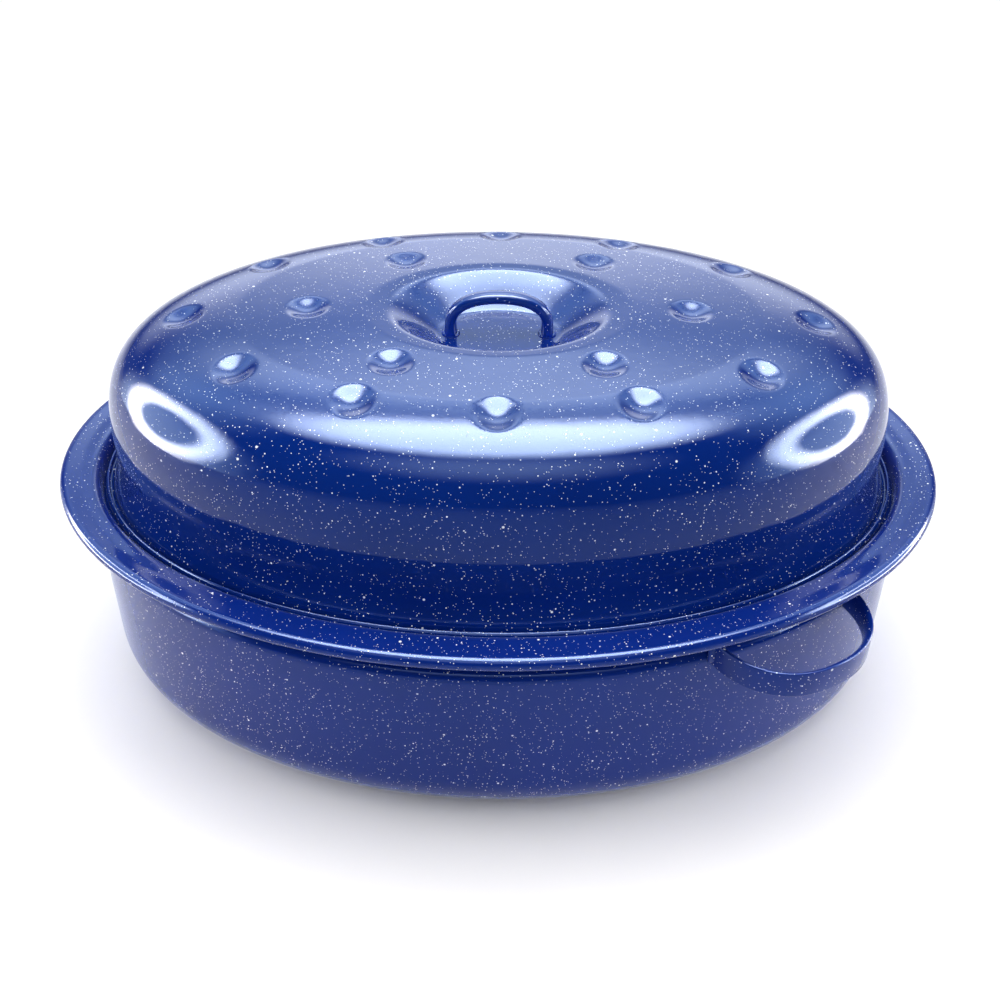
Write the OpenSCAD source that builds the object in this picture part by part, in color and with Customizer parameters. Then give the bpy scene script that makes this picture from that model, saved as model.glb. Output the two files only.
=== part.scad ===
// Oval covered canner and roaster in speckled enamelled steel.
// A deep oval pan with a rolled rim and a recessed lid seat, a dimpled high
// dome lid with a sunk grab handle, two strap handles, and a lift-out jar rack.
// Millimetres. Origin at the bottom centre, +X along the length, +Z up.

/* [Pan] */
// length over the rolled rim
rim_length = 480; // [380:5:560]
// width over the rolled rim
rim_width = 335; // [260:5:400]
// height from the table to the top of the rim
rim_height = 134; // [90:1:180]
// thickness of the enamelled sheet
sheet = 1.4; // [1:0.1:2.5]
// how far the pan wall sits inside the edge of the rim
wall_inset = 15.5; // [12:0.5:24]
// radius between the pan wall and its bottom
bottom_radius = 32; // [15:1:45]
// how far the throat above the lid seat sits inside the edge of the rim
throat_inset = 19.7; // [16:0.1:24]
// outside radius of the rolled rim
rim_roll = 3.1; // [2.5:0.1:5]
// depth of the lid seat below the rim
seat_depth = 13; // [8:0.5:18]
// how far the lid seat reaches in from the edge of the rim
seat_reach = 31; // [28:0.5:38]

/* [Lid] */
// half length of the dome where it turns up from its wall
dome_a = 207; // [190:1:212]
// half width of the dome where it turns up from its wall
dome_b = 130.2; // [115:1:136]
// height of the dome above the pan rim
dome_height = 88.7; // [60:0.5:110]
// height above the rim at which the lid wall starts to round over
dome_start = 9.3; // [4:0.5:25]
// squareness of the dome seen from above its edge
dome_p = 5; // [2:0.1:6]
// squareness of the dome seen from its side
dome_q = 3.9; // [2:0.1:6]
// depth of the hollow that holds the grab handle
hollow_depth = 15.5; // [8:0.5:22]
// half length of the hollow at its lip
hollow_a = 57; // [45:1:70]
// half width of the hollow at its lip
hollow_b = 43; // [35:1:60]
// diameter of each pressed dimple
dimple_d = 16.6; // [10:0.2:22]
// depth of each pressed dimple
dimple_depth = 2.8; // [1:0.1:4]

/* [Lid handle] */
// length of the grab handle over its outside
grab_length = 56; // [45:0.5:70]
// height of the grab handle above the floor of the hollow
grab_height = 24; // [18:0.5:34]
// depth of the grab handle section, front to back
grab_depth = 8; // [5:0.5:12]
// thickness of the grab handle section
grab_thick = 6; // [3:0.5:7]

/* [Side handles] */
// position of the right side handle round the oval, in degrees of its parameter
side_angle = -50; // [-80:1:0]
// length of the loop where it meets the pan
side_length = 86; // [60:1:110]
// reach of the loop out from its own chord
side_reach = 44.6; // [30:0.1:55]
// height of the strap
strap_height = 15; // [10:0.5:20]
// thickness of the strap
strap_thick = 4; // [1.5:0.1:6]
// top edge of the strap below the rim
strap_drop = 17.5; // [12:0.5:30]

/* [Rack] */
// half length of the rack rim, to the middle of its wire
rack_a = 186; // [150:1:195]
// half width of the rack rim, to the middle of its wire
rack_b = 112; // [90:1:120]
// height of the rack rim above the pan floor
rack_height = 20; // [12:1:30]
// wire diameter of the rack rim and its lift handles
rim_wire = 5; // [3:0.5:6]
// wire diameter of the cross wires
cross_wire = 3; // [2:0.5:4]
// spacing of the cross wires
cross_pitch = 27; // [18:1:40]
// height of the lift handles above the rack rim
lift_height = 74; // [40:1:85]
// width of the lift handles
lift_width = 84; // [60:1:110]

/* [Hidden] */
$fn = 32;
segs = 60;
ra = rim_length / 2;
rb = rim_width / 2;
h = sheet / 2;
tiny = 0.01;
wall_line = -(wall_inset + h);
throat_line = -(throat_inset + h);
seat_z = rim_height - seat_depth - h;
floor_top = sheet;
roll_line = rim_roll - h;
roll_z = rim_height - rim_roll;
hollow_z = rim_height + dome_height - h - hollow_depth;
dome_z = rim_height + dome_height - h;
blue = [0.10, 0.17, 0.55];
deep = [0.06, 0.12, 0.45];
wire_grey = [0.72, 0.73, 0.75];

// ---- helpers -------------------------------------------------------------
function arc(cx, cz, r, a0, a1, n) =
    [for (i = [0:n]) let (a = a0 + (a1 - a0) * i / n) [cx + r * cos(a), cz + r * sin(a)]];
function unit(v) = v / max(norm(v), 1e-9);
function rings_of(c) = [for (p = c) [ra + p[0], rb + p[0], p[1]]];
function heading(c, i) =
    let (n = len(c), a = c[max(i - 1, 0)], b = c[min(i + 1, n - 1)])
    unit([(b[0] - a[0] + b[1] - a[1]) / 2, b[2] - a[2]]);
function skin(c, d) =
    [for (i = [0:len(c) - 1]) let (t = heading(c, i))
        [c[i][0] + t[1] * d, c[i][1] + t[1] * d, c[i][2] - t[0] * d]];
function back(v) = [for (i = [len(v) - 1:-1:0]) v[i]];

// closed oval solid through a list of [half length, half width, height] rings
module oval_solid(r) {
    n = len(r);
    polyhedron(
        points = [for (q = r) for (j = [0:segs - 1]) let (a = 360 * j / segs)
            [q[0] * cos(a), q[1] * sin(a), q[2]]],
        faces = concat(
            [[for (j = [0:segs - 1]) j]],
            [[for (j = [segs - 1:-1:0]) (n - 1) * segs + j]],
            [for (i = [0:n - 2]) for (j = [0:segs - 1])
                [i * segs + j, (i + 1) * segs + j, (i + 1) * segs + (j + 1) % segs]],
            [for (i = [0:n - 2]) for (j = [0:segs - 1])
                [i * segs + j, (i + 1) * segs + (j + 1) % segs, i * segs + (j + 1) % segs]]));
}
// pressed sheet following a centre line
module oval_sheet(c) { oval_solid(concat(skin(c, h), back(skin(c, -h)))); }

// solid swept along points with a section given as [across, up] in each frame
module swept(pts, side, up, sec) {
    n = len(pts);
    m = len(sec);
    polyhedron(
        points = [for (i = [0:n - 1]) for (s = sec) pts[i] + side[i] * s[0] + up[i] * s[1]],
        faces = concat(
            [[for (k = [m - 1:-1:0]) k]],
            [[for (k = [0:m - 1]) (n - 1) * m + k]],
            [for (i = [0:n - 2]) for (k = [0:m - 1])
                [i * m + k, i * m + (k + 1) % m, (i + 1) * m + (k + 1) % m]],
            [for (i = [0:n - 2]) for (k = [0:m - 1])
                [i * m + k, (i + 1) * m + (k + 1) % m, (i + 1) * m + k]]));
}

// ---- pan -----------------------------------------------------------------
pan_line = concat(
    [[wall_line - bottom_radius - 70, h]],
    arc(wall_line - bottom_radius + h, bottom_radius, bottom_radius - h, -90, 0, 6),
    [[wall_line, seat_z - 22]],
    arc(wall_line - 6, seat_z - 17, 6, 0, 65, 3),
    arc(-seat_reach + 3, seat_z - 3.2, 3.2, 215, 90, 4),
    arc(throat_line - 2.4, seat_z + 2, 2, -80, 0, 2),
    [[throat_line, rim_height - 8]],
    arc(throat_line + 4, rim_height - 6.2, 4, 175, 95, 3),
    [[-11, rim_height - 1.9], [-7.5, rim_height - 1.3]],
    arc(-rim_roll, roll_z, roll_line, 100, -165, 8));

module pan_shell() { color(blue) oval_sheet(rings_of(pan_line)); }

// ---- side handles ---------------------------------------------------------
side_t = side_angle;
side_sink = 8.1;
side_n = unit([cos(side_t) / ra, sin(side_t) / rb, 0]);
side_v = [-side_n[1], side_n[0], 0];
side_m = [(ra - wall_inset) * cos(side_t), (rb - wall_inset) * sin(side_t), 0] - side_n * side_sink;
strap_z = rim_height - strap_drop - strap_height / 2;
side_e = 2 / 2.3;
function spow(v, e) = sign(v) * pow(abs(v), e);
side_steps = 22;
loop_pts = [for (i = [0:side_steps]) let (a = 180 * i / side_steps)
    side_m + side_v * ((side_length - strap_thick) / 2) * spow(cos(a), side_e)
    + side_n * ((side_reach - strap_thick / 2) * spow(sin(a), side_e)) + [0, 0, strap_z]];
loop_dir = [for (i = [0:side_steps])
    i == 0 ? side_n : i == side_steps ? -side_n : unit(loop_pts[i + 1] - loop_pts[i - 1])];
loop_out = [for (d = loop_dir) [d[1], -d[0], 0]];
strap_sec = let (t = strap_thick / 2, s = strap_height / 2)
    [[-t, -s + 0.9], [-t + 0.7, -s], [t - 0.9, -s + 0.1], [t - 0.1, -s + 1.4], [t + 0.35, 0],
     [t - 0.1, s - 1.4], [t - 0.9, s - 0.1], [-t + 0.7, s], [-t, s - 0.9]];

module side_loop() {
    up = [for (d = loop_dir) [0, 0, 1]];
    swept(loop_pts, loop_out, up, strap_sec);
    // weld tabs turned flat against the pan wall
    for (s = [-1, 1])
        let (v = s * (side_length / 2 + 2.2),
             p = side_m + side_v * v,
             k = norm([p[0] / (ra - wall_inset), p[1] / (rb - wall_inset)]),
             q = [p[0] / k, p[1] / k],
             nn = unit([q[0] / pow(ra - wall_inset, 2), q[1] / pow(rb - wall_inset, 2), 0]))
            translate([q[0] + nn[0] * 0.75, q[1] + nn[1] * 0.75, strap_z])
                rotate([0, 0, atan2(nn[1], nn[0])])
                    cube([1.8, 14, strap_height - 2.4], center = true);
}
module side_handle_right() { color(deep) side_loop(); }
module side_handle_left() { color(deep) rotate([0, 0, 180]) side_loop(); }

// ---- lid -------------------------------------------------------------------
// the lid wall opens out towards its bead
flare_top = rim_height + 14;
flare_end = rim_height - seat_depth + 4;
function flare(z) = pow(max(0, (flare_top - z) / (flare_top - flare_end)), 2);
function dome_ring(a) = let (k = dome_k(a), z = rim_height + dome_start + (dome_height - h - dome_start) * sin(a))
    [dome_a * k + 5 * flare(z), dome_b * k + 7.3 * flare(z), z];
function dome_k(a) = pow(max(0, 1 - pow(sin(a), dome_q)), 1 / dome_p);
dome_angles = [0, 9, 18, 26, 34, 41, 48, 55, 62, 69, 75.5];
bead_a = dome_a + 7;
bead_b = dome_b + 9.3;
bead_z = rim_height - seat_depth + 0.5 + h + 2;
lid_line = concat(
    [[16, 12, hollow_z]],
    [for (i = [0:6]) let (u = i / 6)
        [32 + (hollow_a - 32) * u, 24 + (hollow_b - 24) * u,
         hollow_z + (hollow_depth - 0.4) * (0.5 - 0.5 * cos(180 * u))]],
    [[hollow_a + 12, hollow_b + 6, dome_z - 0.1]],
    [for (i = [len(dome_angles) - 1:-1:0]) dome_ring(dome_angles[i])],
    [for (z = [rim_height + 3, rim_height - 2.5, bead_z + 2.2]) [dome_a + 5 * flare(z), dome_b + 7.3 * flare(z), z]],
    [for (i = [0:6]) let (a = 180 + 250 * i / 6)
        [bead_a + 2 * cos(a), bead_b + 2 * cos(a), bead_z + 2 * sin(a)]]);

// the eighteen dimples: an inner ring of six round the hollow and an outer ring of twelve
inner_dimples = concat([for (s = [-1, 1]) [98.3 * s, 0]],
    [for (s = [-1, 1]) for (t = [-1, 1]) [51.3 * s, 55.5 * t]]);
outer_dimples = concat([for (s = [-1, 1]) [163 * s, 0]], [for (t = [-1, 1]) [0, 89.8 * t]],
    [for (s = [-1, 1]) for (t = [-1, 1]) [66.6 * s, 82 * t]],
    [for (s = [-1, 1]) for (t = [-1, 1]) [126.7 * s, 54 * t]]);
dimples = concat(inner_dimples, outer_dimples);
ball = (pow(dimple_d / 2, 2) + pow(dimple_depth, 2)) / (2 * dimple_depth);
function dome_at(x, y) =
    let (k = norm([x / dome_a, y / dome_b]))
    rim_height + dome_start + (dome_height - dome_start) * pow(1 - pow(k, dome_p), 1 / dome_q);
module at_dimple(p) {
    z = dome_at(p[0], p[1]);
    sx = (dome_at(p[0] + 1, p[1]) - dome_at(p[0] - 1, p[1])) / 2;
    sy = (dome_at(p[0], p[1] + 1) - dome_at(p[0], p[1] - 1)) / 2;
    az = atan2(-sy, -sx);
    tilt = atan(norm([sx, sy]));
    translate([p[0], p[1], z]) rotate([0, tilt, az]) children();
}
module lid_shell() {
    color(blue)
        difference() {
            union() {
                oval_sheet(lid_line);
                for (p = dimples) at_dimple(p)
                    intersection() {
                        translate([0, 0, ball - dimple_depth]) sphere(r = ball + sheet);
                        translate([0, 0, -dimple_depth - sheet - 2])
                            cylinder(r = dimple_d, h = dimple_depth + sheet + 2 - h);
                    }
            }
            for (p = dimples) at_dimple(p)
                translate([0, 0, ball - dimple_depth]) sphere(r = ball);
        }
}

// ---- lid handle -------------------------------------------------------------
grab_a = (grab_length - grab_thick) / 2;
grab_z = hollow_z + h;
grab_top = grab_z + grab_height - grab_thick / 2;
grab_knee = grab_z + 6;
grab_pts = concat([[-grab_a, 0, grab_z]],
    [for (i = [0:16]) let (a = 180 - 180 * i / 16)
        [grab_a * spow(cos(a), 0.9), 0, grab_knee + (grab_top - grab_knee) * spow(sin(a), 0.9)]],
    [[grab_a, 0, grab_z]]);
grab_n = len(grab_pts);
grab_dir = [for (i = [0:grab_n - 1])
    i == 0 ? [0, 0, 1] : i == grab_n - 1 ? [0, 0, -1] : unit(grab_pts[i + 1] - grab_pts[i - 1])];
grab_sec = [for (i = [0:15]) let (a = 360 * i / 16)
    [grab_depth / 2 * spow(cos(a), 0.7), grab_thick / 2 * spow(sin(a), 0.7)]];
module lid_handle() {
    color(deep) {
        swept(grab_pts, [for (d = grab_dir) [0, -1, 0]], [for (d = grab_dir) [-d[2], 0, d[0]]], grab_sec);
        // weld feet turned flat on the floor of the hollow
        for (s = [-1, 1]) translate([s * grab_a, 0, grab_z]) cylinder(d = grab_depth + 2, h = 1.6);
    }
}

// ---- rack -------------------------------------------------------------------
rack_z = floor_top + rack_height;
runner_y = 58;
cross_z = rack_z + rim_wire / 2 + cross_wire / 2 - 0.6;
rack_n = 48;
ring_pts = [for (j = [0:rack_n - 1]) let (a = 360 * j / rack_n) [rack_a * cos(a), rack_b * sin(a), rack_z]];
ring_out = [for (j = [0:rack_n - 1]) let (a = 360 * j / rack_n) unit([cos(a) / rack_a, sin(a) / rack_b, 0])];
module rack_rim_wire() {
    m = 10;
    color(wire_grey)
        polyhedron(
            points = [for (j = [0:rack_n - 1]) for (k = [0:m - 1]) let (b = 360 * k / m)
                ring_pts[j] + ring_out[j] * (rim_wire / 2 * cos(b)) + [0, 0, rim_wire / 2 * sin(b)]],
            faces = concat(
                [for (j = [0:rack_n - 1]) for (k = [0:m - 1]) let (j2 = (j + 1) % rack_n, k2 = (k + 1) % m)
                    [j * m + k, j * m + k2, j2 * m + k2]],
                [for (j = [0:rack_n - 1]) for (k = [0:m - 1]) let (j2 = (j + 1) % rack_n, k2 = (k + 1) % m)
                    [j * m + k, j2 * m + k2, j2 * m + k]]));
}
function half_x(y) = rack_a * sqrt(max(0, 1 - pow(y / rack_b, 2)));
function half_y(x) = rack_b * sqrt(max(0, 1 - pow(x / rack_a, 2)));
module bar(p, q, d) {
    v = q - p;
    translate(p) rotate([0, acos(v[2] / norm(v)), atan2(v[1], v[0])]) cylinder(d = d, h = norm(v));
}
module rack_runner_wires() {
    color(wire_grey)
        for (s = [-1, 1])
            let (x = half_x(runner_y) - 1.2) bar([-x, s * runner_y, rack_z - 0.2], [x, s * runner_y, rack_z - 0.2], rim_wire - 1);
}
module rack_cross_wires() {
    color(wire_grey)
        for (i = [-6:6])
            let (x = i * cross_pitch, y = half_y(x) + 0.4) bar([x, -y, cross_z], [x, y, cross_z], cross_wire);
}
module rack_feet() {
    d = rim_wire - 1;
    z0 = floor_top + 0.4 + d / 2;
    z1 = rack_z - rim_wire / 2 - 0.2;
    color(wire_grey)
        for (s = [-1, 1]) for (t = [-1, 1]) translate([s * 95, t * runner_y, 0]) {
            bar([-18, 0, z0], [18, 0, z0], d);
            for (u = [-18, 18]) { translate([u, 0, z0]) sphere(d = d); bar([u, 0, z0], [u, 0, z1 + 0.6], d); }
        }
}
module lift_loop() {
    x0 = half_x(lift_width / 2);
    w = lift_width / 2;
    r = 14;
    z0 = rack_z + rim_wire / 2 - 0.5;
    z1 = rack_z + lift_height;
    for (s = [-1, 1]) {
        bar([x0, s * w, z0], [x0, s * w, z1 - r], rim_wire);
        translate([x0, s * (w - r), z1 - r]) rotate([90, 0, 90])
            rotate([0, 0, s > 0 ? 0 : 90]) rotate_extrude(angle = 90) translate([r, 0]) circle(d = rim_wire);
    }
    bar([x0, -(w - r), z1], [x0, w - r, z1], rim_wire);
}
module rack_lift_handle_right() { color(wire_grey) lift_loop(); }
module rack_lift_handle_left() { color(wire_grey) rotate([0, 0, 180]) lift_loop(); }

pan_shell();
side_handle_right();
side_handle_left();
lid_shell();
lid_handle();
rack_rim_wire();
rack_runner_wires();
rack_cross_wires();
rack_feet();
rack_lift_handle_right();
rack_lift_handle_left();
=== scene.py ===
import math
import bpy
from mathutils import Vector, Matrix


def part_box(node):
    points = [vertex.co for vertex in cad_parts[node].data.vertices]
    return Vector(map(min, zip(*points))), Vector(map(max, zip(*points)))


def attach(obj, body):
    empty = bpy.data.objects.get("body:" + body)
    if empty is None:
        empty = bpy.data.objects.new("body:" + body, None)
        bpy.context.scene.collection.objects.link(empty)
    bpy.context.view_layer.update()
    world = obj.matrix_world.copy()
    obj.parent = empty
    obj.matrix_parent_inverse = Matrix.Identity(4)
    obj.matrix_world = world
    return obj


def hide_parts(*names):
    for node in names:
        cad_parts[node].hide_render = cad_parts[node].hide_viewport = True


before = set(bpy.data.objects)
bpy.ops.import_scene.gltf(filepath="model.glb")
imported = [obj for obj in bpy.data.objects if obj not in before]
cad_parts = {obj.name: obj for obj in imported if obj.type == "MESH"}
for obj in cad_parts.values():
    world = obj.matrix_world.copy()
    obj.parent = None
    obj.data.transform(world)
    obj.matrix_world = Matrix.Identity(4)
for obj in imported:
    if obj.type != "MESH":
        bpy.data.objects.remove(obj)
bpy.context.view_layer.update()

# ------------------------------------------------------------------ sizes (metres), the design's own
MM = 0.001
lo_p, hi_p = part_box("pan_shell")
RA = hi_p.x / MM                      # half length over the rim, mm
RB = hi_p.y / MM                      # half width over the rim, mm
RIM = hi_p.z / MM                     # rim height, mm
lo_l, hi_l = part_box("lid_shell")
DOME_TOP = hi_l.z / MM - RIM
W = 1.4
H = W / 2
INSET = 15.5
BOT_R = 32.0
ROLL = 3.7
SEAT_Z = RIM - 13.0 - H
WALL = -(INSET + H)
THROAT = -(19.7 + H)
SINK = 8.1
DOME_A, DOME_B, DOME_START, DOME_P, DOME_Q = 207.0, 130.2, 9.3, 5.0, 3.9
HOL_D, HOL_A, HOL_B = 15.5, 57.0, 43.0
DIMPLE_R, DIMPLE_D = 11.6, 3.4
HOL_Z = RIM + DOME_TOP - H - HOL_D


# ------------------------------------------------------------------ mesh helpers
def arc(cx, cz, r, a0, a1, n):
    return [(cx + r * math.cos(math.radians(a0 + (a1 - a0) * i / n)),
             cz + r * math.sin(math.radians(a0 + (a1 - a0) * i / n))) for i in range(n + 1)]


def lerp_line(p, q, n):
    return [(p[0] + (q[0] - p[0]) * i / n, p[1] + (q[1] - p[1]) * i / n) for i in range(1, n)]


def smooth_path(pts, step, passes=0):
    """Points respaced about step apart along the path, then relaxed a little."""
    out = [pts[0]]
    for a, b in zip(pts, pts[1:]):
        d = math.dist(a, b)
        n = max(1, int(round(d / step)))
        for k in range(1, n + 1):
            out.append(tuple(a[i] + (b[i] - a[i]) * k / n for i in range(len(a))))
    for _ in range(passes):
        new = [out[0]]
        for i in range(1, len(out) - 1):
            new.append(tuple(0.25 * out[i - 1][j] + 0.5 * out[i][j] + 0.25 * out[i + 1][j]
                             for j in range(len(out[i]))))
        new.append(out[-1])
        out = new
    return out


def offset(c, d):
    out = []
    n = len(c)
    for i in range(n):
        a, b = c[max(i - 1, 0)], c[min(i + 1, n - 1)]
        tx, tz = (b[0] - a[0] + b[1] - a[1]) / 2, b[2] - a[2]
        m = math.hypot(tx, tz) or 1e-9
        tx, tz = tx / m, tz / m
        out.append((c[i][0] + tz * d, c[i][1] + tz * d, c[i][2] - tx * d))
    return out


def oval_mesh(name, rings, segs, shift=None):
    """A closed oval solid through (half length, half width, height) rings in mm."""
    verts, faces = [], []
    cs = [(math.cos(2 * math.pi * j / segs), math.sin(2 * math.pi * j / segs)) for j in range(segs)]
    for q in rings:
        for c, s in cs:
            x, y, z = q[0] * c, q[1] * s, q[2]
            if shift:
                z += shift(x, y, z)
            verts.append((x * MM, y * MM, z * MM))
    n = len(rings)
    for i in range(n - 1):
        a, b = i * segs, (i + 1) * segs
        for j in range(segs):
            k = (j + 1) % segs
            faces.append((a + j, a + k, b + k, b + j))
    for first, ring, flip in ((0, rings[0], True), ((n - 1) * segs, rings[-1], False)):
        c = len(verts)
        verts.append((0, 0, ring[2] * MM))
        for j in range(segs):
            k = (j + 1) % segs
            faces.append((c, first + k, first + j) if flip else (c, first + j, first + k))
    return make(name, verts, faces)


def make(name, verts, faces):
    me = bpy.data.meshes.new(name)
    me.from_pydata(verts, [], faces)
    me.validate()
    me.update()
    ob = bpy.data.objects.new(name, me)
    bpy.context.scene.collection.objects.link(ob)
    me.polygons.foreach_set("use_smooth", [True] * len(me.polygons))
    return ob


def tube(name, pts, radius, sides=20, closed=False, squash=None):
    """A round wire through points in mm, with domed ends."""
    verts, faces, n = [], [], len(pts)
    P = [Vector(p) for p in pts]
    T = []
    for i in range(n):
        a = P[(i - 1) % n] if closed or i > 0 else P[i]
        b = P[(i + 1) % n] if closed or i < n - 1 else P[i]
        T.append((b - a).normalized())
    ref = Vector((0, 0, 1)) if abs(T[0].z) < 0.9 else Vector((1, 0, 0))
    u = (ref - T[0] * ref.dot(T[0])).normalized()
    rows = []

    def row(p, t, u, r):
        v = t.cross(u)
        rows.append(len(verts))
        for k in range(sides):
            a = 2 * math.pi * k / sides
            q = p + (u * math.cos(a) + v * math.sin(a)) * r
            verts.append(tuple(q * MM))

    caps = 4
    for i in range(n):
        u = (u - T[i] * u.dot(T[i])).normalized()
        if i == 0 and not closed:
            for c in range(caps, 0, -1):
                a = math.pi / 2 * c / (caps + 0.3)
                row(P[0] - T[0] * (radius * 0.5 * math.sin(a)), T[0], u, radius * math.cos(a))
        row(P[i], T[i], u, radius)
        if i == n - 1 and not closed:
            for c in range(1, caps + 1):
                a = math.pi / 2 * c / (caps + 0.3)
                row(P[i] + T[i] * (radius * 0.5 * math.sin(a)), T[i], u, radius * math.cos(a))
    m = len(rows)
    for i in range(m if closed else m - 1):
        a, b = rows[i], rows[(i + 1) % m]
        for k in range(sides):
            k2 = (k + 1) % sides
            faces.append((a + k, a + k2, b + k2, b + k))
    if not closed:
        faces.append(tuple(rows[0] + k for k in range(sides - 1, -1, -1)))
        faces.append(tuple(rows[-1] + k for k in range(sides)))
    return verts, faces


def join(name, parts):
    verts, faces = [], []
    for v, f in parts:
        o = len(verts)
        verts += v
        faces += [tuple(i + o for i in q) for q in f]
    return make(name, verts, faces)


def sweep(pts, side, up, sections):
    """Section loops (across, up) carried along points in mm, closed at both ends."""
    verts, faces = [], []
    n, m = len(pts), len(sections[0])
    for p, s, u, sec in zip(pts, side, up, sections):
        for a, b in sec:
            verts.append(tuple((p + s * a + u * b) * MM))
    for i in range(n - 1):
        for k in range(m):
            k2 = (k + 1) % m
            faces.append((i * m + k, i * m + k2, (i + 1) * m + k2, (i + 1) * m + k))
    faces.append(tuple(range(m - 1, -1, -1)))
    faces.append(tuple((n - 1) * m + k for k in range(m)))
    return verts, faces


def fix_normals(ob):
    import bmesh
    bm = bmesh.new()
    bm.from_mesh(ob.data)
    bmesh.ops.recalc_face_normals(bm, faces=bm.faces)
    bm.to_mesh(ob.data)
    bm.free()


# ------------------------------------------------------------------ materials
def node(nt, kind, **props):
    n = nt.nodes.new(kind)
    for k, v in props.items():
        setattr(n, k, v)
    return n


def speckle_layer(nt, coord, scale, keep, size, seed):
    """A mask of small white spots of mixed size: one in some cells of a 3-D cell pattern."""
    mp = node(nt, "ShaderNodeMapping")
    mp.inputs["Location"].default_value = (seed * 0.37, seed * 0.71, seed * 0.13)
    mp.inputs["Rotation"].default_value = (0.3 + seed * 0.21, 0.5 + seed * 0.17, 0.2 * seed)
    nt.links.new(coord, mp.inputs["Vector"])
    wob = node(nt, "ShaderNodeTexNoise")
    wob.inputs["Scale"].default_value = scale * 1.7
    wob.inputs["Detail"].default_value = 1.0
    nt.links.new(mp.outputs["Vector"], wob.inputs["Vector"])
    off = node(nt, "ShaderNodeVectorMath", operation="MULTIPLY_ADD")
    nt.links.new(wob.outputs["Color"], off.inputs[0])
    off.inputs[1].default_value = (0.04 / scale,) * 3
    nt.links.new(mp.outputs["Vector"], off.inputs[2])
    vo = node(nt, "ShaderNodeTexVoronoi", feature="F1", distance="EUCLIDEAN")
    vo.inputs["Scale"].default_value = scale
    vo.inputs["Randomness"].default_value = 1.0
    nt.links.new(off.outputs["Vector"], vo.inputs["Vector"])
    sep = node(nt, "ShaderNodeSeparateColor")
    nt.links.new(vo.outputs["Color"], sep.inputs["Color"])
    # radius of each spot from the cell's own random colour, none below the keep threshold
    pw = node(nt, "ShaderNodeMapRange")
    pw.inputs["From Min"].default_value = 1.0 - keep
    pw.inputs["From Max"].default_value = 1.0
    pw.inputs["To Min"].default_value = size * 0.35
    pw.inputs["To Max"].default_value = size
    nt.links.new(sep.outputs["Red"], pw.inputs["Value"])
    gate = node(nt, "ShaderNodeMath", operation="GREATER_THAN")
    nt.links.new(sep.outputs["Red"], gate.inputs[0])
    gate.inputs[1].default_value = 1.0 - keep
    rad = node(nt, "ShaderNodeMath", operation="MULTIPLY")
    nt.links.new(pw.outputs["Result"], rad.inputs[0])
    nt.links.new(gate.outputs[0], rad.inputs[1])
    diff = node(nt, "ShaderNodeMath", operation="SUBTRACT")
    nt.links.new(rad.outputs[0], diff.inputs[0])
    nt.links.new(vo.outputs["Distance"], diff.inputs[1])
    edge = node(nt, "ShaderNodeMapRange", interpolation_type="SMOOTHSTEP")
    edge.inputs["From Min"].default_value = 0.0
    edge.inputs["From Max"].default_value = 0.04
    nt.links.new(diff.outputs[0], edge.inputs["Value"])
    return edge.outputs["Result"]


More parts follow.
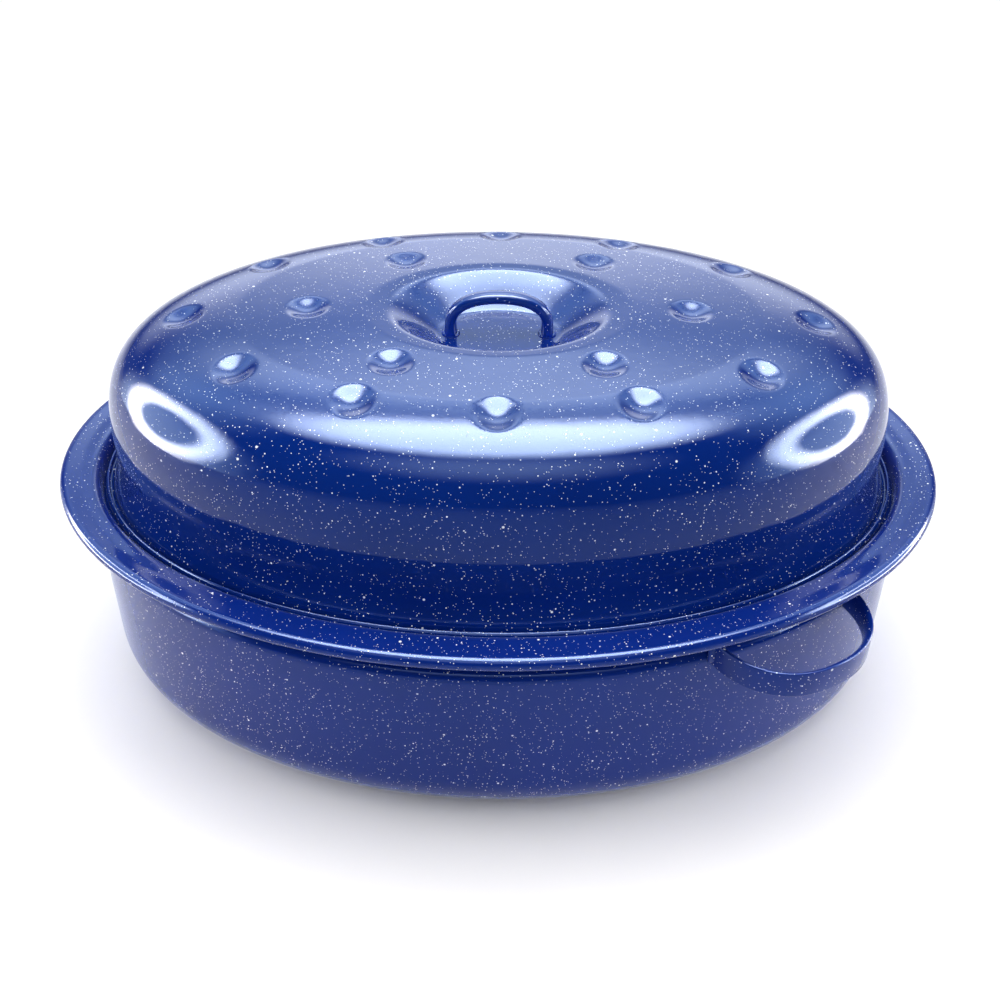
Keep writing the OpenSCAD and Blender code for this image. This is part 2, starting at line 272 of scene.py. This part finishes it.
def enamel(name, base, deep, spots, rough, level, tint, sheen=0.0, bump=0.02):
    """Glossy fired enamel: a deep colour with a slow drift, and white specks in three sizes."""
    m = bpy.data.materials.new(name)
    m.use_nodes = True
    nt = m.node_tree
    nt.nodes.clear()
    out = node(nt, "ShaderNodeOutputMaterial")
    bs = node(nt, "ShaderNodeBsdfPrincipled")
    nt.links.new(bs.outputs["BSDF"], out.inputs["Surface"])
    tc = node(nt, "ShaderNodeTexCoord")
    co = tc.outputs["Object"]
    drift = node(nt, "ShaderNodeTexNoise")
    drift.inputs["Scale"].default_value = 9.0
    drift.inputs["Detail"].default_value = 3.0
    nt.links.new(co, drift.inputs["Vector"])
    ramp = node(nt, "ShaderNodeValToRGB")
    ramp.color_ramp.elements[0].position = 0.3
    ramp.color_ramp.elements[0].color = (*deep, 1)
    ramp.color_ramp.elements[1].position = 0.72
    ramp.color_ramp.elements[1].color = (*base, 1)
    nt.links.new(drift.outputs["Fac"], ramp.inputs["Fac"])
    # patches where the specks fall thicker
    crowd = node(nt, "ShaderNodeTexNoise")
    crowd.inputs["Scale"].default_value = 26.0
    crowd.inputs["Detail"].default_value = 2.0
    nt.links.new(co, crowd.inputs["Vector"])
    cr = node(nt, "ShaderNodeMapRange")
    cr.inputs["From Min"].default_value = 0.35
    cr.inputs["From Max"].default_value = 0.6
    cr.inputs["To Min"].default_value = 0.55
    cr.inputs["To Max"].default_value = 1.0
    nt.links.new(crowd.outputs["Fac"], cr.inputs["Value"])
    total = None
    for scale, keep, size, seed, fade in spots:
        s = speckle_layer(nt, co, scale, keep, size, seed)
        mul = node(nt, "ShaderNodeMath", operation="MULTIPLY")
        nt.links.new(s, mul.inputs[0])
        mul.inputs[1].default_value = fade
        if total is None:
            total = mul.outputs[0]
        else:
            mx = node(nt, "ShaderNodeMath", operation="MAXIMUM")
            nt.links.new(total, mx.inputs[0])
            nt.links.new(mul.outputs[0], mx.inputs[1])
            total = mx.outputs[0]
    fine = node(nt, "ShaderNodeMath", operation="MULTIPLY")
    nt.links.new(total, fine.inputs[0])
    nt.links.new(cr.outputs["Result"], fine.inputs[1])
    mix = node(nt, "ShaderNodeMix", data_type="RGBA")
    nt.links.new(fine.outputs[0], mix.inputs["Factor"])
    nt.links.new(ramp.outputs["Color"], mix.inputs["A"])
    mix.inputs["B"].default_value = (0.88, 0.91, 0.97, 1)
    nt.links.new(mix.outputs["Result"], bs.inputs["Base Color"])
    # orange-peel of the fired glaze
    peel = node(nt, "ShaderNodeTexNoise")
    peel.inputs["Scale"].default_value = 75.0
    peel.inputs["Detail"].default_value = 2.0
    nt.links.new(co, peel.inputs["Vector"])
    add = node(nt, "ShaderNodeMath", operation="MULTIPLY_ADD")
    nt.links.new(fine.outputs[0], add.inputs[0])
    add.inputs[1].default_value = 0.06
    nt.links.new(peel.outputs["Fac"], add.inputs[2])
    bp = node(nt, "ShaderNodeBump")
    bp.inputs["Strength"].default_value = bump
    bp.inputs["Distance"].default_value = 0.004
    nt.links.new(add.outputs[0], bp.inputs["Height"])
    nt.links.new(bp.outputs["Normal"], bs.inputs["Normal"])
    bs.inputs["Roughness"].default_value = rough
    bs.inputs["IOR"].default_value = 1.5
    bs.inputs["Specular IOR Level"].default_value = level
    bs.inputs["Specular Tint"].default_value = (*tint, 1)
    bs.inputs["Sheen Weight"].default_value = sheen
    bs.inputs["Sheen Roughness"].default_value = 0.35
    bs.inputs["Sheen Tint"].default_value = (0.42, 0.55, 1.0, 1)
    return m


# ------------------------------------------------------------------ pan
def pan_line():
    c = []
    c += [(WALL - BOT_R - 70, H)]
    c += [(WALL - BOT_R - 20, H)]
    c += arc(WALL - BOT_R + H, BOT_R, BOT_R - H, -90, 0, 18)
    c += [(WALL, 60.0), (WALL, SEAT_Z - 22)]
    c += arc(WALL - 6, SEAT_Z - 17, 6, 0, 65, 8)
    c += arc(-31 + 3, SEAT_Z - 3.2, 3.2, 215, 90, 12)
    c += arc(THROAT - 2.4, SEAT_Z + 2, 2, -80, 0, 6)
    c += [(THROAT, RIM - 8)]
    c += arc(THROAT + 4, RIM - 6.2, 4, 175, 95, 9)
    c += [(-11, RIM - 1.9), (-7.5, RIM - 1.3)]
    c += arc(-ROLL, RIM - ROLL, ROLL - H, 100, -165, 26)
    return [(RA + x, RB + x, z) for x, z in c]


def rounded(c, passes, step):
    return smooth_path(c, step, passes)


pc = pan_line()
pc = rounded(pc, 2, 1.2)
pan_rings = offset(pc, H) + offset(pc, -H)[::-1]
pan = oval_mesh("pan_body", pan_rings, 288)

# ------------------------------------------------------------------ lid
def dome_k(a):
    return max(0.0, 1 - math.sin(a) ** DOME_Q) ** (1 / DOME_P)


def flare(z):
    top, end = RIM + 14, RIM - 13 + 4
    return max(0.0, (top - z) / (top - end)) ** 2


bead_a, bead_b = DOME_A + 7, DOME_B + 9.3
BEAD = 2.4
bead_z = RIM - 13 + 0.5 + H + BEAD


def lid_line():
    c = [(6.0, 4.5, HOL_Z), (16.0, 12.0, HOL_Z)]
    for i in range(25):
        u = i / 24
        c.append((32 + (HOL_A - 32) * u, 24 + (HOL_B - 24) * u,
                  HOL_Z + (HOL_D - 0.4) * (0.8 * u + 0.2 * (0.5 - 0.5 * math.cos(math.pi * u)))))
    c.append((HOL_A + 12, HOL_B + 6, RIM + DOME_TOP - H - 0.1))
    n = 40
    for i in range(n, -1, -1):
        a = math.radians(75.5 * i / n)
        k = dome_k(a)
        z = RIM + DOME_START + (DOME_TOP - H - DOME_START) * math.sin(a)
        c.append((DOME_A * k + 5 * flare(z), DOME_B * k + 7.3 * flare(z), z))
    for i in range(1, 9):
        z = RIM + DOME_START + (bead_z + 2.0 - RIM - DOME_START) * i / 8
        c.append((DOME_A + 5 * flare(z), DOME_B + 7.3 * flare(z), z))
    for i in range(21):
        a = math.radians(180 + 250 * i / 20)
        c.append((bead_a + BEAD * math.cos(a), bead_b + BEAD * math.cos(a), bead_z + BEAD * math.sin(a)))
    return c


DIMPLES = [(98.3 * s, 0) for s in (-1, 1)]
DIMPLES += [(51.3 * s, 53.0 * t) for s in (-1, 1) for t in (-1, 1)]
DIMPLES += [(163 * s, 0) for s in (-1, 1)] + [(0, 91.8 * t) for t in (-1, 1)]
DIMPLES += [(66.6 * s, 82 * t) for s in (-1, 1) for t in (-1, 1)]
DIMPLES += [(126.7 * s, 54 * t) for s in (-1, 1) for t in (-1, 1)]


def dimple_shift(x, y, z):
    if z < RIM + 50:
        return 0.0
    d = 0.0
    for px, py in DIMPLES:
        q = (x - px) ** 2 + (y - py) ** 2
        if q < DIMPLE_R * DIMPLE_R:
            r = math.sqrt(q) / DIMPLE_R
            d -= DIMPLE_D * (1 - r * r) ** 1.45
    return d


lc = rounded(lid_line(), 3, 1.3)
lid_rings = offset(lc, H) + offset(lc, -H)[::-1]
lid = oval_mesh("lid_dome", lid_rings, 480, dimple_shift)


# ------------------------------------------------------------------ lid handle
def spow(v, e):
    return math.copysign(abs(v) ** e, v)


GA = (56.0 - 6.0) / 2
GZ = HOL_Z + H
GTOP = GZ + 24.0 - 3.0
KNEE = GZ + 6


def grab():
    pts = [Vector((-GA, 0, GZ - 0.3)), Vector((-GA, 0, GZ + 2)), Vector((-GA, 0, GZ + 4))]
    n = 44
    for i in range(n + 1):
        a = math.pi - math.pi * i / n
        pts.append(Vector((GA * spow(math.cos(a), 0.9), 0, KNEE + (GTOP - KNEE) * spow(math.sin(a), 0.9))))
    pts += [Vector((GA, 0, GZ + 4)), Vector((GA, 0, GZ + 2)), Vector((GA, 0, GZ - 0.3))]
    n = len(pts)
    d = []
    for i in range(n):
        d.append((pts[min(i + 1, n - 1)] - pts[max(i - 1, 0)]).normalized())
    side = [Vector((0, -1, 0))] * n
    up = [Vector((-q.z, 0, q.x)) for q in d]
    secs = []
    for i in range(n):
        flare = 1.0 + 0.22 * math.exp(-min(i, n - 1 - i) / 1.2)
        secs.append([(4.0 * flare * spow(math.cos(2 * math.pi * k / 28), 0.75),
                      3.0 * flare * spow(math.sin(2 * math.pi * k / 28), 0.75)) for k in range(28)])
    parts = [sweep(pts, side, up, secs)]
    # feet: turned ends lying on the floor of the hollow, domed to nothing at their edges
    for s in (-1, 1):
        v, f = [], []
        rows = [(4.8, 0.0), (4.8, 0.4), (4.6, 0.9), (4.1, 1.25), (2.6, 1.38), (0.6, 1.4)]
        for r, z in rows:
            for k in range(28):
                a = 2 * math.pi * k / 28
                v.append(((s * GA + r * math.cos(a)) * MM, r * math.sin(a) * MM, (GZ + z) * MM))
        for i in range(len(rows) - 1):
            for k in range(28):
                k2 = (k + 1) % 28
                f.append((i * 28 + k, i * 28 + k2, (i + 1) * 28 + k2, (i + 1) * 28 + k))
        f.append(tuple(range(27, -1, -1)))
        f.append(tuple((len(rows) - 1) * 28 + k for k in range(28)))
        parts.append((v, f))
    return join("lid_grab_handle", parts)


grab_ob = grab()
fix_normals(grab_ob)

# ------------------------------------------------------------------ side handles
ST = math.radians(-50)
PA, PB = RA - INSET, RB - INSET
SN = Vector((math.cos(ST) / RA, math.sin(ST) / RB, 0)).normalized()
SV = Vector((-SN.y, SN.x, 0))
SM = Vector((PA * math.cos(ST), PB * math.sin(ST), 0)) - SN * SINK
SL, SR, SH, STK, SDROP = 86.0, 44.6, 15.0, 4.0, 17.5
SZ = RIM - SDROP - SH / 2


def strap_section(crown=1.0):
    """Across and up: a thin inner face with small lips, and an outer face pressed out into a long round."""
    t, s = STK / 2, SH / 2
    sec = []
    lip = 0.7
    for i in range(7):
        a = math.radians(180 + 90 * i / 6)
        sec.append((-t + lip + lip * math.cos(a), -s + lip + lip * math.sin(a)))
    for i in range(1, 25):
        u = -1 + 2 * i / 25
        sec.append((-t + lip + 0.35 + crown * (STK - lip - 0.35) * (1 - abs(u) ** 2.4) ** 0.62, u * (s - 0.05)))
    for i in range(7):
        a = math.radians(90 + 90 * i / 6)
        sec.append((-t + lip + lip * math.cos(a), s - lip + lip * math.sin(a)))
    return sec


def side_loop(name, turn):
    e = 2 / 2.3
    n = 72
    pts = []
    for i in range(n + 1):
        a = math.pi * i / n
        p = SM + SV * ((SL - STK) / 2 * spow(math.cos(a), e)) + SN * ((SR - STK / 2) * spow(math.sin(a), e))
        pts.append(Vector((p.x, p.y, SZ)))
    # even spacing
    d = [0.0]
    for a, b in zip(pts, pts[1:]):
        d.append(d[-1] + (b - a).length)
    ev, m, j = [], 90, 0
    for i in range(m + 1):
        s = d[-1] * i / m
        while j < len(d) - 2 and d[j + 1] < s:
            j += 1
        f = (s - d[j]) / max(d[j + 1] - d[j], 1e-9)
        ev.append(pts[j].lerp(pts[j + 1], f))
    pts = ev
    n = len(pts)
    dr = [(pts[min(i + 1, n - 1)] - pts[max(i - 1, 0)]).normalized() for i in range(n)]
    dr[0], dr[-1] = SN.copy(), -SN
    side = [Vector((q.y, -q.x, 0)) for q in dr]
    up = [Vector((0, 0, 1))] * n
    sec = strap_section()
    parts = [sweep(pts, side, up, [sec] * n)]
    # weld tabs: the strap's ends turned flat against the pan wall
    for s in (-1, 1):
        v = s * (SL / 2 - 1.2)
        p = SM + SV * v
        base = math.atan2(p.y / PB, p.x / PA)
        path, outw = [], []
        for i in range(9):
            tt = base + (i - 4) * 1.05 / 210
            q = Vector((PA * math.cos(tt), PB * math.sin(tt), 0))
            nn = Vector((q.x / PA ** 2, q.y / PB ** 2, 0)).normalized()
            path.append(Vector((q.x, q.y, SZ)) + nn * 0.75)
            outw.append(nn)
        secs = []
        for i in range(9):
            k = 1 - 0.28 * abs((i - 4) / 4) ** 3
            secs.append([(a * 0.62 * (1 if abs(i - 4) < 4 else 0.7), b * 0.82 * k) for a, b in sec])
        parts.append(sweep(path, outw, [Vector((0, 0, 1))] * 9, secs))
    ob = join(name, parts)
    if turn:
        ob.data.transform(Matrix.Rotation(math.pi, 4, "Z"))
    fix_normals(ob)
    return ob


loop_r = side_loop("side_strap_right", False)
loop_l = side_loop("side_strap_left", True)

# ------------------------------------------------------------------ jar rack
KA, KB, KH, RW, CW, PITCH = 186.0, 112.0, 20.0, 5.0, 3.0, 27.0
KZ = W + KH
RY = 58.0
CZ = KZ + RW / 2 + CW / 2 - 0.6


def half_x(y):
    return KA * math.sqrt(max(0, 1 - (y / KB) ** 2))


def half_y(x):
    return KB * math.sqrt(max(0, 1 - (x / KA) ** 2))


rim_v = tube("r", [(KA * math.cos(2 * math.pi * i / 160), KB * math.sin(2 * math.pi * i / 160), KZ)
                   for i in range(160)], RW / 2, 20, True)
rack_rim = join("rack_rim", [rim_v])
runs = []
for s in (-1, 1):
    x = half_x(RY) - 1.2
    runs.append(tube("r", [(x * (-1 + 2 * i / 12), s * RY, KZ - 0.2) for i in range(13)], (RW - 1) / 2, 18))
rack_run = join("rack_runners", runs)
cross = []
for i in range(-6, 7):
    x = i * PITCH
    y = half_y(x) + 0.4
    cross.append(tube("c", [(x, y * (-1 + 2 * k / 10), CZ) for k in range(11)], CW / 2, 16))
rack_cross = join("rack_crossbars", cross)
feet = []
FD = RW - 1
FZ0, FZ1 = W + 0.4 + FD / 2, KZ - RW / 2 + 0.3
for s in (-1, 1):
    for t in (-1, 1):
        pts = [(-18, FZ1), (-18, (FZ0 + FZ1) / 2 + 2)]
        r = 4.0
        pts += [(-18 + r - r * math.cos(math.radians(a)), FZ0 + r - r * math.sin(math.radians(a))) for a in range(0, 91, 10)]
        pts += [(0, FZ0)]
        pts += [(18 - r + r * math.sin(math.radians(a)), FZ0 + r - r * math.cos(math.radians(a))) for a in range(0, 91, 10)]
        pts += [(18, (FZ0 + FZ1) / 2 + 2), (18, FZ1)]
        feet.append(tube("f", [(s * 95 + x, t * RY, z) for x, z in pts], FD / 2, 16))
rack_feet = join("rack_bent_feet", feet)


def lift(name, sgn):
    x0 = half_x(42.0)
    w, r = 42.0, 14.0
    z0, z1 = KZ + RW / 2 - 0.5, KZ + 74.0
    pts = [(x0, -w, z0), (x0, -w, (z0 + z1 - r) / 2), (x0, -w, z1 - r - 1)]
    pts += [(x0, -w + r - r * math.cos(math.radians(a)), z1 - r + r * math.sin(math.radians(a))) for a in range(0, 91, 9)]
    pts += [(x0, 0, z1)]
    pts += [(x0, w - r + r * math.sin(math.radians(a)), z1 - r + r * math.cos(math.radians(a))) for a in range(0, 91, 9)]
    pts += [(x0, w, z1 - r - 1), (x0, w, (z0 + z1 - r) / 2), (x0, w, z0)]
    return join(name, [tube("l", [(sgn * x, sgn * y, z) for x, y, z in pts], RW / 2, 18)])


lift_r = lift("rack_lift_loop_right", 1)
lift_l = lift("rack_lift_loop_left", -1)


def wire_metal():
    m = bpy.data.materials.new("plated_rack_wire")
    m.use_nodes = True
    nt = m.node_tree
    bs = nt.nodes["Principled BSDF"]
    tc = node(nt, "ShaderNodeTexCoord")
    no = node(nt, "ShaderNodeTexNoise")
    no.inputs["Scale"].default_value = 60.0
    no.inputs["Detail"].default_value = 5.0
    nt.links.new(tc.outputs["Object"], no.inputs["Vector"])
    rp = node(nt, "ShaderNodeValToRGB")
    rp.color_ramp.elements[0].position = 0.35
    rp.color_ramp.elements[0].color = (0.52, 0.52, 0.53, 1)
    rp.color_ramp.elements[1].position = 0.65
    rp.color_ramp.elements[1].color = (0.74, 0.74, 0.75, 1)
    nt.links.new(no.outputs["Fac"], rp.inputs["Fac"])
    nt.links.new(rp.outputs["Color"], bs.inputs["Base Color"])
    rr = node(nt, "ShaderNodeMapRange")
    rr.inputs["To Min"].default_value = 0.16
    rr.inputs["To Max"].default_value = 0.34
    nt.links.new(no.outputs["Fac"], rr.inputs["Value"])
    nt.links.new(rr.outputs["Result"], bs.inputs["Roughness"])
    bs.inputs["Metallic"].default_value = 1.0
    return m


SPOTS = [(430.0, 0.66, 0.18, 1, 1.0), (700.0, 0.66, 0.21, 4, 0.85), (150.0, 0.55, 0.125, 7, 1.0)]
lid_mat = enamel("lid_speckled_enamel", (0.0008, 0.0165, 0.158), (0.0005, 0.0115, 0.122), SPOTS, 0.06,
                 0.30, (0.42, 0.62, 1.0), 0.10)
pan_mat = enamel("pan_speckled_enamel", (0.0016, 0.0165, 0.172), (0.0010, 0.0125, 0.140), SPOTS, 0.09,
                 0.27, (0.42, 0.62, 1.0), 0.22)
# the lid handle's copy of the enamel is set lighter than the lid's own: painted light, standing in for the overhead
# light on the handle's top
handle_mat_painted_light = enamel("handle_enamel", (0.0022, 0.026, 0.200), (0.0016, 0.019, 0.155),
                  [(430.0, 0.3, 0.18, 2, 0.9), (700.0, 0.25, 0.18, 5, 0.8)], 0.08, 0.30, (0.55, 0.72, 1.0))
wire_mat = wire_metal()

for ob, nd, body, mat, sl in (
        (pan, "pan_shell", "pan", pan_mat, "pan_enamel"),
        (loop_r, "side_handle_right", "pan", pan_mat, "handle_enamel"),
        (loop_l, "side_handle_left", "pan", pan_mat, "handle_enamel"),
        (lid, "lid_shell", "lid", lid_mat, "lid_enamel"),
        (grab_ob, "lid_handle", "lid", handle_mat_painted_light, "handle_enamel"),
        (rack_rim, "rack_rim_wire", "rack", wire_mat, "plated_wire"),
        (rack_run, "rack_runner_wires", "rack", wire_mat, "plated_wire"),
        (rack_cross, "rack_cross_wires", "rack", wire_mat, "plated_wire"),
        (rack_feet, "rack_feet", "rack", wire_mat, "plated_wire"),
        (lift_r, "rack_lift_handle_right", "rack", wire_mat, "plated_wire"),
        (lift_l, "rack_lift_handle_left", "rack", wire_mat, "plated_wire")):
    ob.data.materials.append(mat)
    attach(ob, body)
    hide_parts(nd)

# ------------------------------------------------------------------ floor, light, camera
bpy.ops.mesh.primitive_plane_add(size=14, location=(0, 0, -0.0005))
floor = bpy.context.object
floor.name = "studio_floor"
fm = bpy.data.materials.new("pale_floor")
fm.use_nodes = True
fb = fm.node_tree.nodes["Principled BSDF"]
fb.inputs["Base Color"].default_value = (0.80, 0.80, 0.80, 1)
fb.inputs["Roughness"].default_value = 0.7
fb.inputs["Specular IOR Level"].default_value = 0.15
floor.data.materials.append(fm)

world = bpy.data.worlds.new("studio")
bpy.context.scene.world = world
world.use_nodes = True
wn = world.node_tree.nodes["Background"]
wn.inputs["Color"].default_value = (0.93, 0.95, 1.0, 1)
wn.inputs["Strength"].default_value = 0.12
# the room behind is a plain pale backdrop to the eye, and lights the object only faintly
wt = world.node_tree
seen = node(wt, "ShaderNodeBackground")
seen.inputs["Color"].default_value = (0.95, 0.96, 0.98, 1)
seen.inputs["Strength"].default_value = 0.85
ray = node(wt, "ShaderNodeLightPath")
pick = node(wt, "ShaderNodeMixShader")
wt.links.new(ray.outputs["Is Camera Ray"], pick.inputs["Fac"])
wt.links.new(wn.outputs["Background"], pick.inputs[1])
wt.links.new(seen.outputs["Background"], pick.inputs[2])
wt.links.new(pick.outputs["Shader"], wt.nodes["World Output"].inputs["Surface"])


def area(name, loc, target, sx, sy, power, shape="RECTANGLE", color=(1, 1, 1), spread=180):
    ld = bpy.data.lights.new(name, "AREA")
    ld.shape = shape
    ld.size = sx
    ld.size_y = sy
    ld.energy = power
    ld.color = color
    ld.spread = math.radians(spread)
    ob = bpy.data.objects.new(name, ld)
    bpy.context.scene.collection.objects.link(ob)
    ob.location = loc
    ob.rotation_euler = (Vector(target) - Vector(loc)).to_track_quat("-Z", "Y").to_euler()
    return ob


def glow(name, loc, target, outer, inner, strength, tint, soft=0.25):
    """A studio reflector seen only as a reflection: an oval panel, with an optional darker middle."""
    ox, oy = outer
    verts, faces, seg = [(0, 0, 0)], [], 64
    rows = [inner] + [inner + (1 - inner) * k / 10 for k in range(1, 11)] if inner else [k / 12 for k in range(1, 13)]
    for r in rows:
        for k in range(seg):
            a = 2 * math.pi * k / seg
            verts.append((ox * r * spow(math.cos(a), 0.8), oy * r * spow(math.sin(a), 0.8), 0))
    for k in range(seg):
        k2 = (k + 1) % seg
        if not inner:
            faces.append((0, 1 + k, 1 + k2))
        for i in range(len(rows) - 1):
            faces.append((1 + i * seg + k, 1 + (i + 1) * seg + k, 1 + (i + 1) * seg + k2, 1 + i * seg + k2))
    if inner:
        verts[0] = verts[1]
    me = bpy.data.meshes.new(name)
    me.from_pydata(verts, [], faces)
    ob = bpy.data.objects.new(name, me)
    bpy.context.scene.collection.objects.link(ob)
    ob.location = loc
    ob.rotation_euler = (Vector(target) - Vector(loc)).to_track_quat("-Z", "Y").to_euler()
    m = bpy.data.materials.new(name)
    m.use_nodes = True
    nt = m.node_tree
    nt.nodes.clear()
    out = node(nt, "ShaderNodeOutputMaterial")
    em = node(nt, "ShaderNodeEmission")
    em.inputs["Color"].default_value = (*tint, 1)
    tc = node(nt, "ShaderNodeTexCoord")
    mp = node(nt, "ShaderNodeMapping")
    mp.inputs["Scale"].default_value = (1 / ox, 1 / oy, 1)
    nt.links.new(tc.outputs["Object"], mp.inputs["Vector"])
    ln = node(nt, "ShaderNodeVectorMath", operation="LENGTH")
    nt.links.new(mp.outputs["Vector"], ln.inputs[0])
    mr = node(nt, "ShaderNodeMapRange", interpolation_type="SMOOTHSTEP")
    mr.inputs["From Min"].default_value = 1.0
    mr.inputs["From Max"].default_value = 1.0 - soft
    mr.inputs["To Min"].default_value = 0.0
    mr.inputs["To Max"].default_value = strength
    nt.links.new(ln.outputs["Value"], mr.inputs["Value"])
    last = mr.outputs["Result"]
    if inner:
        m2 = node(nt, "ShaderNodeMapRange", interpolation_type="SMOOTHSTEP")
        m2.inputs["From Min"].default_value = inner
        m2.inputs["From Max"].default_value = inner + soft * 0.6
        nt.links.new(ln.outputs["Value"], m2.inputs["Value"])
        mu = node(nt, "ShaderNodeMath", operation="MULTIPLY")
        nt.links.new(last, mu.inputs[0])
        nt.links.new(m2.outputs["Result"], mu.inputs[1])
        last = mu.outputs[0]
    nt.links.new(last, em.inputs["Strength"])
    clear = node(nt, "ShaderNodeBsdfTransparent")
    both = node(nt, "ShaderNodeAddShader")
    nt.links.new(em.outputs["Emission"], both.inputs[0])
    nt.links.new(clear.outputs["BSDF"], both.inputs[1])
    nt.links.new(both.outputs["Shader"], out.inputs["Surface"])
    me.materials.append(m)
    ob.visible_camera = False
    ob.visible_diffuse = False
    ob.visible_shadow = False
    return ob


WARM = (1.0, 0.88, 0.78)
top = area("top_softbox", (0, 0.35, 1.9), (0, 0.0, 0.15), 2.4, 1.5, 32)
top.visible_glossy = False
sky = bpy.data.lights.new("sky_light", "SUN")
sky.energy = 1.5
sky.angle = math.radians(100)
sky_ob = bpy.data.objects.new("sky_light", sky)
bpy.context.scene.collection.objects.link(sky_ob)
sky_ob.location = (0, 0, 3)
sky_ob.visible_glossy = False
fill = area("front_fill", (0, -1.9, 1.3), (0, 0, 0.15), 2.2, 1.2, 8)
fill.visible_glossy = False
left = area("left_fill", (-1.9, -0.2, 0.8), (0, 0, 0.12), 1.2, 1.2, 19)
right = area("right_fill", (1.9, -0.2, 0.8), (0, 0, 0.12), 1.2, 1.2, 19)
left.visible_glossy = False
right.visible_glossy = False
glow("overhead_strip", (0, -0.05, 1.9), (0, -0.05, 0.2), (1.3, 0.86), 0, 48.0, WARM, 0.55)
glow("overhead_soft", (0, 0.20, 1.9), (0, 0.1, 0.2), (1.7, 0.85), 0, 13.0, (1.0, 0.92, 0.86), 0.95)
glow("front_skirt", (0, -1.3, 1.8), (0, -0.1, 0.2), (1.5, 0.95), 0, 6.5, (0.96, 0.93, 0.90), 0.95)
glow("overhead_mid", (0, 1.3, 1.75), (0, -0.05, 0.2), (1.7, 0.75), 0, 7.5, (0.92, 0.94, 0.95), 0.92)
glow("overhead_panel", (0, 1.0, 1.85), (0, 0, 0.2), (3.2, 1.7), 0, 4.4, (0.55, 0.76, 1.0), 0.8)
glow("back_panel", (0, 2.6, 0.95), (0, 0, 0.2), (3.2, 0.95), 0, 4.6, (0.84, 0.90, 1.0), 0.95)
glow("left_shoulder", (-1.5, 0.35, 1.45), (0, 0, 0.2), (1.1, 1.1), 0, 5.0, (0.60, 0.80, 1.0), 0.95)
glow("right_shoulder", (1.5, 0.35, 1.45), (0, 0, 0.2), (1.1, 1.1), 0, 5.0, (0.60, 0.80, 1.0), 0.95)
glow("left_ring", (-0.95, -0.10, 0.37), (0, -0.08, 0.2), (0.48, 0.46), 0.40, 46.0, WARM, 0.36)
glow("right_ring", (0.95, -0.10, 0.37), (0, -0.08, 0.2), (0.48, 0.46), 0.40, 46.0, WARM, 0.36)
glow("left_low", (-1.5, -0.1, 0.30), (0, 0, 0.15), (1.2, 0.9), 0, 7.5, (0.74, 0.87, 1.0), 0.7)
glow("right_low", (1.5, -0.1, 0.30), (0, 0, 0.15), (1.2, 0.9), 0, 7.5, (0.74, 0.87, 1.0), 0.7)

cam_data = bpy.data.cameras.new("photo_camera")
cam_data.sensor_width = 36.0
cam_data.lens = 44.76
cam = bpy.data.objects.new("photo_camera", cam_data)
bpy.context.scene.collection.objects.link(cam)
E, PSI, ROLLA = 0.65534, -0.004675, 0.008291
dv = Vector((math.sin(PSI) * math.cos(E), math.cos(PSI) * math.cos(E), -math.sin(E)))
rv = Vector((math.cos(PSI), -math.sin(PSI), 0))
uv = rv.cross(dv)
r2 = rv * math.cos(ROLLA) + uv * math.sin(ROLLA)
u2 = -rv * math.sin(ROLLA) + uv * math.cos(ROLLA)
cam.matrix_world = Matrix((
    (r2.x, u2.x, -dv.x, 0.00391),
    (r2.y, u2.y, -dv.y, -0.56558),
    (r2.z, u2.z, -dv.z, RIM * MM + 0.39854),
    (0, 0, 0, 1)))
bpy.context.scene.camera = cam
bpy.context.scene.view_settings.view_transform = "Standard"
